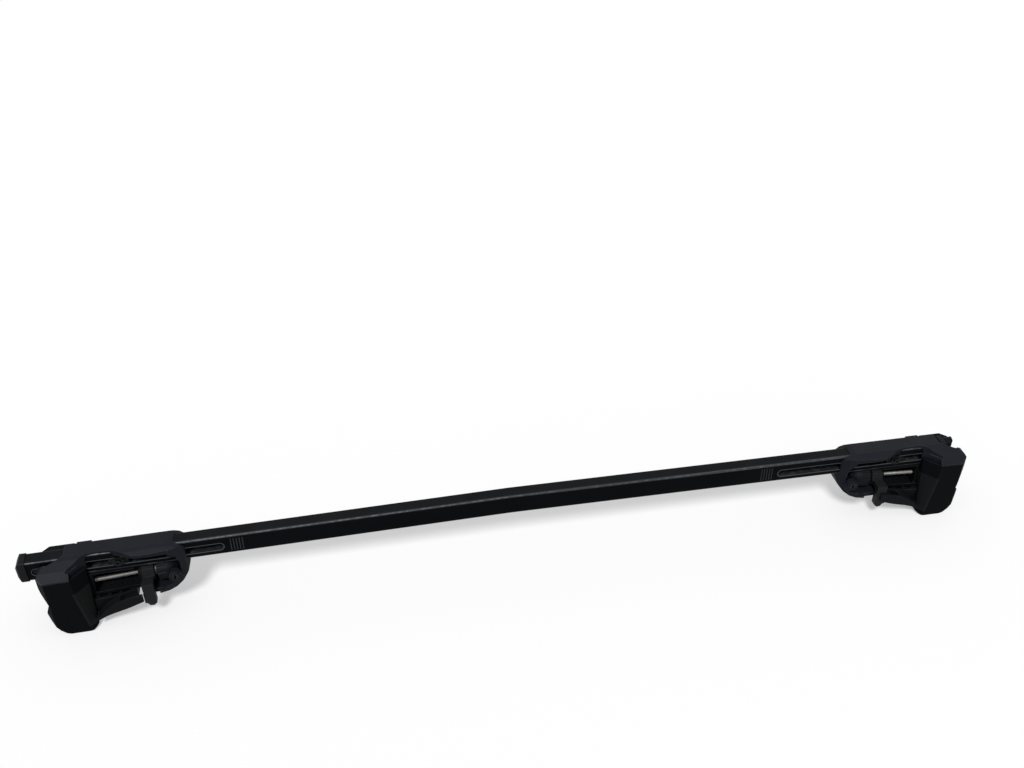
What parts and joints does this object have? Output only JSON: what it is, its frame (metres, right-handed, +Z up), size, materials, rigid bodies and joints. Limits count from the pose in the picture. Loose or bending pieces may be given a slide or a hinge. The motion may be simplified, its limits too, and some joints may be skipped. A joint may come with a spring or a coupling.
{
  "type": "roof crossbar",
  "caption": "Roof crossbar: slightly bowed black steel tube with plastic clamp feet that hook and screw onto raised roof rails, each with a knob, spindle and lock.",
  "frame": {"origin": "middle of the overall box, on the ground under the feet", "axes": "+X along the bar to the right-hand foot, -Y towards the clamp windows, +Z up"},
  "size_m": [1.2539, 0.07, 0.1129],
  "materials": {
    "bar_strip": "plain strip",
    "bar_tube": "satin black coating over a galvanised tube",
    "end_cap": "fine grain",
    "frame_screws": "zinc plated",
    "guide_frame": "black coated steel",
    "housing": "moulded, satin",
    "inner_jaw": "moulded, satin",
    "inner_pad": "ribbed",
    "jaw_pad": "grooved",
    "knob": "moulded, satin",
    "knob_cap": "moulded",
    "knob_insert": "threaded insert",
    "lock_barrel": "nickel plated",
    "lock_sleeve": "moulded",
    "outer_jaw": "moulded, fine grain",
    "rail_seat": "moulded",
    "seat_pad": "grooved",
    "slot_nut": "zinc plated",
    "slot_screw": "zinc plated",
    "spindle": "zinc plated",
    "spindle_anchor": "zinc plated",
    "thrust_washer": "zinc plated"
  },
  "bodies": {
    "bar": {"bar_tube": "bar_tube", "left_end_cap": "end_cap", "right_end_cap": "end_cap"},
    "left_foot": {"left_housing": "housing", "left_outer_jaw": "outer_jaw", "left_jaw_pad": "jaw_pad", "left_guide_frame": "guide_frame", "left_rail_seat": "rail_seat", "left_seat_pad": "seat_pad", "left_bar_strip": "bar_strip", "left_spindle_anchor": "spindle_anchor", "left_slot_nut": "slot_nut", "left_slot_screw": "slot_screw", "left_frame_screws": "frame_screws", "left_lock_sleeve": "lock_sleeve"},
    "left_jaw": {"left_inner_jaw": "inner_jaw", "left_inner_pad": "inner_pad", "left_thrust_washer": "thrust_washer"},
    "left_knob": {"left_knob": "knob", "left_spindle": "spindle", "left_knob_insert": "knob_insert", "left_knob_cap": "knob_cap"},
    "left_lock": {"left_lock_barrel": "lock_barrel"},
    "right_foot": {"right_housing": "housing", "right_outer_jaw": "outer_jaw", "right_jaw_pad": "jaw_pad", "right_guide_frame": "guide_frame", "right_rail_seat": "rail_seat", "right_seat_pad": "seat_pad", "right_bar_strip": "bar_strip", "right_spindle_anchor": "spindle_anchor", "right_slot_nut": "slot_nut", "right_slot_screw": "slot_screw", "right_frame_screws": "frame_screws", "right_lock_sleeve": "lock_sleeve"},
    "right_jaw": {"right_inner_jaw": "inner_jaw", "right_inner_pad": "inner_pad", "right_thrust_washer": "thrust_washer"},
    "right_knob": {"right_knob": "knob", "right_spindle": "spindle", "right_knob_insert": "knob_insert", "right_knob_cap": "knob_cap"},
    "right_lock": {"right_lock_barrel": "lock_barrel"}
  },
  "joints": [
    {"name": "left_foot_slide", "type": "slide", "parent": "bar", "child": "left_foot", "axis": [0.9999, 0, 0.0129], "range_m": [-0.043, 0.109]},
    {"name": "left_jaw_slide", "type": "slide", "parent": "left_foot", "child": "left_jaw", "axis": [-0.9971, 0, -0.0756], "range_m": [0, 0.022]},
    {"name": "left_knob_turn", "type": "hinge", "parent": "left_jaw", "child": "left_knob", "pos_m": [-0.45201, 0, 0.06139], "axis": [-0.9971, 0, -0.0756], "range_deg": [0, 7920]},
    {"name": "left_lock_turn", "type": "hinge", "parent": "left_foot", "child": "left_lock", "pos_m": [-0.44105, -0.02, 0.06483], "axis": [0, 1, 0], "range_deg": [-90, 0]},
    {"name": "right_foot_slide", "type": "slide", "parent": "bar", "child": "right_foot", "axis": [-0.9999, 0, 0.0129], "range_m": [-0.002, 0.152]},
    {"name": "right_jaw_slide", "type": "slide", "parent": "right_foot", "child": "right_jaw", "axis": [0.9971, 0, -0.0756], "range_m": [-0.009, 0.013]},
    {"name": "right_knob_turn", "type": "hinge", "parent": "right_jaw", "child": "right_knob", "pos_m": [0.48548, 0, 0.06015], "axis": [0.9971, 0, -0.0756], "range_deg": [-3240, 4680]},
    {"name": "right_lock_turn", "type": "hinge", "parent": "right_foot", "child": "right_lock", "pos_m": [0.46555, -0.02, 0.06427], "axis": [0, 1, 0], "range_deg": [0, 90]}
  ],
  "couplings": [
    {"joint": "left_knob_turn", "follows": "left_jaw_slide", "rad_per_m": 6283.2},
    {"joint": "right_knob_turn", "follows": "right_jaw_slide", "rad_per_m": 6283.2}
  ]
}
